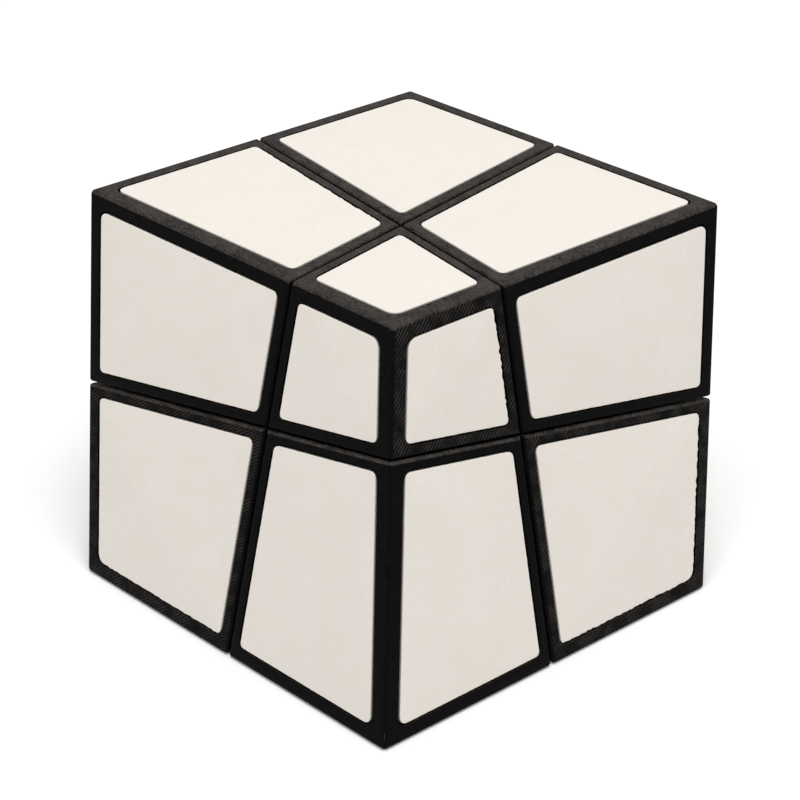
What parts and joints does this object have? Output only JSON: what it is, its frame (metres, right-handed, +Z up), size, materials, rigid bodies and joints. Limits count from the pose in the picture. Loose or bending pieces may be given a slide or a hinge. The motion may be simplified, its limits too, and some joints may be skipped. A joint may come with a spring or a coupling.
{
  "type": "twisty puzzle cube",
  "caption": "Printed twisty puzzle cube with a slanted squashed-cube shape, pale tiles on dark corner pieces, and layers that turn about an inner core.",
  "frame": {"origin": "centre of the puzzle, where the three turning axes meet, which is also the centre of its bounding box", "axes": "+Z up, square to the level top face; -Y towards the low front point of the outer shape; +X to the right as seen from the front"},
  "size_m": [0.0968, 0.1018, 0.0504],
  "materials": {
    "black_print": "printed in black, near-black satin with a fine diagonal hatch on the flat faces",
    "white_tile": "matte off-white tile with a fine grain",
    "grey_nylon": "dark grey moulded or printed plastic, inside, never seen",
    "steel": "plain bright steel fasteners, inside"
  },
  "bodies": {
    "core_and_fixed_corner": {"core": "grey_nylon", "anchor_pin": "steel", "corner_low_back": "black_print", "tile_low_back_back_right": "white_tile", "tile_low_back_back_left": "white_tile", "tile_low_back_bottom": "white_tile", "edge_back_right_back_left": "grey_nylon", "edge_back_left_bottom": "grey_nylon", "edge_bottom_back_right": "grey_nylon", "screw_front_left": "steel", "washer_front_left": "steel", "screw_front_right": "steel", "washer_front_right": "steel", "screw_top": "steel", "washer_top": "steel"},
    "front_left_layer": {"corner_low_left": "black_print", "tile_low_left_front_left": "white_tile", "tile_low_left_back_left": "white_tile", "tile_low_left_bottom": "white_tile", "edge_front_left_back_left": "grey_nylon", "edge_bottom_front_left": "grey_nylon", "centre_front_left": "grey_nylon", "spring_front_left": "steel"},
    "front_right_layer": {"corner_low_right": "black_print", "tile_low_right_back_right": "white_tile", "tile_low_right_front_right": "white_tile", "tile_low_right_bottom": "white_tile", "edge_back_right_front_right": "grey_nylon", "edge_front_right_bottom": "grey_nylon", "centre_front_right": "grey_nylon", "spring_front_right": "steel"},
    "top_layer": {"corner_back": "black_print", "tile_back_back_right": "white_tile", "tile_back_back_left": "white_tile", "tile_back_top": "white_tile", "edge_back_left_top": "grey_nylon", "edge_top_back_right": "grey_nylon", "centre_top": "grey_nylon", "spring_top": "steel"},
    "front_left_and_front_right": {"corner_low_near": "black_print", "tile_low_near_front_left": "white_tile", "tile_low_near_front_right": "white_tile", "tile_low_near_bottom": "white_tile", "edge_front_left_front_right": "grey_nylon"},
    "front_right_and_top": {"corner_right": "black_print", "tile_right_back_right": "white_tile", "tile_right_front_right": "white_tile", "tile_right_top": "white_tile", "edge_front_right_top": "grey_nylon"},
    "front_left_and_top": {"corner_left": "black_print", "tile_left_front_left": "white_tile", "tile_left_back_left": "white_tile", "tile_left_top": "white_tile", "edge_top_front_left": "grey_nylon"},
    "all_three_layers": {"corner_near": "black_print", "tile_near_front_left": "white_tile", "tile_near_front_right": "white_tile", "tile_near_top": "white_tile"}
  },
  "joints": [
    {"name": "top_turn", "type": "hinge", "parent": "core_and_fixed_corner", "child": "top_layer", "pos_m": [0, 0, 0], "axis": [0, 0.3111, 0.9504], "continuous": true},
    {"name": "front_left_turn", "type": "hinge", "parent": "core_and_fixed_corner", "child": "front_left_layer", "pos_m": [0, 0, 0], "axis": [-0.7071, -0.672, 0.22], "range_deg": [-360, 360]},
    {"name": "front_right_turn", "type": "hinge", "parent": "core_and_fixed_corner", "child": "front_right_layer", "pos_m": [0, 0, 0], "axis": [0.7071, -0.672, 0.22], "range_deg": [-360, 360]},
    {"name": "with_front_right_on_front_left", "type": "hinge", "parent": "front_left_layer", "child": "front_left_and_front_right", "pos_m": [0, 0, 0], "axis": [0.7071, -0.672, 0.22], "range_deg": [-360, 360]},
    {"name": "with_top_on_front_right", "type": "hinge", "parent": "front_right_layer", "child": "front_right_and_top", "pos_m": [0, 0, 0], "axis": [0, 0.3111, 0.9504], "continuous": true},
    {"name": "with_top_on_front_left", "type": "hinge", "parent": "front_left_layer", "child": "front_left_and_top", "pos_m": [0, 0, 0], "axis": [0, 0.3111, 0.9504], "continuous": true},
    {"name": "with_top_on_both_fronts", "type": "hinge", "parent": "front_left_and_front_right", "child": "all_three_layers", "pos_m": [0, 0, 0], "axis": [0, 0.3111, 0.9504], "continuous": true}
  ],
  "couplings": [
    {"joint": "with_front_right_on_front_left", "follows": "front_right_turn", "ratio": 1},
    {"joint": "with_top_on_front_right", "follows": "top_turn", "ratio": 1},
    {"joint": "with_top_on_front_left", "follows": "top_turn", "ratio": 1},
    {"joint": "with_top_on_both_fronts", "follows": "top_turn", "ratio": 1}
  ]
}
